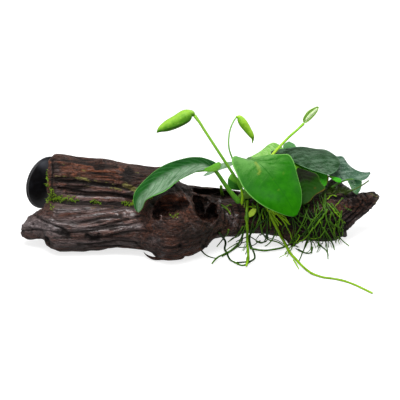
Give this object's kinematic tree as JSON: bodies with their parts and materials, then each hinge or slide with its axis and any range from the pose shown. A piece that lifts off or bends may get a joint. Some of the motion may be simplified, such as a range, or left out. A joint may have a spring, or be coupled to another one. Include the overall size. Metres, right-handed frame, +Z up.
{
  "type": "anubias on driftwood",
  "caption": "Broad-leaved aquarium plant with creeping rhizome, flower heads and free roots, grown on a branching, hollowed piece of driftwood with a suction cup in its end.",
  "frame": {"origin": "middle of the whole object's footprint, on the level surface that the driftwood rests on", "axes": "+X along the log, from the suction cup's end to the horn-shaped end of the right limb; +Y away from the pictured side, to the back; +Z up"},
  "size_m": [0.2908, 0.1641, 0.1194],
  "materials": {
    "driftwood": "wet dark bark and grain",
    "rubber": "smooth black",
    "leaf_dark": "waxy leaf",
    "leaf_green": "waxy leaf",
    "leaf_light": "waxy young leaf",
    "flower": "satin spathe",
    "stalk": "smooth fleshy stem",
    "spadix": "beaded",
    "root": "smooth root",
    "moss": "fibrous",
    "twig": "thin bark"
  },
  "bodies": {
    "root": {"driftwood_log": "driftwood", "driftwood_lower_limb": "driftwood", "driftwood_right_limb": "driftwood", "suction_cup": "rubber", "rhizome": "stalk", "leaf_left": "leaf_dark", "leaf_front": "leaf_green", "leaf_back": "leaf_light", "leaf_back_small": "leaf_dark", "leaf_right": "leaf_dark", "leaf_far_right": "leaf_dark", "leaf_low": "leaf_dark", "leaf_low_small": "leaf_light", "leaf_low_tip": "leaf_light", "leaf_curled": "leaf_dark", "leaf_inner": "leaf_dark", "leaf_edge_on": "leaf_dark", "leaflet": "leaf_light", "peduncle_left": "stalk", "peduncle_middle": "stalk", "peduncle_right": "stalk", "spathe_left": "flower", "spathe_middle": "flower", "spathe_right": "flower", "spadix": "spadix", "sprout": "root", "shoot": "root", "twig": "twig", "hair_roots_left": "root", "hair_roots_right": "root", "moss_log_end": "moss", "moss_log_edge": "moss", "moss_middle": "moss", "moss_right": "moss", "moss_bulge": "moss", "root_1": "root", "root_2": "root", "root_3": "root", "root_4": "root", "root_5": "root", "root_6": "root", "root_7": "root", "root_8": "root", "root_9": "root", "root_10": "root", "root_11": "root", "root_12": "root", "root_13": "root", "root_14": "root", "root_15": "root", "root_16": "root", "root_17": "root", "root_18": "root", "root_19": "root", "root_20": "root", "root_21": "root", "root_22": "root", "root_23": "root"}
  },
  "joints": []
}
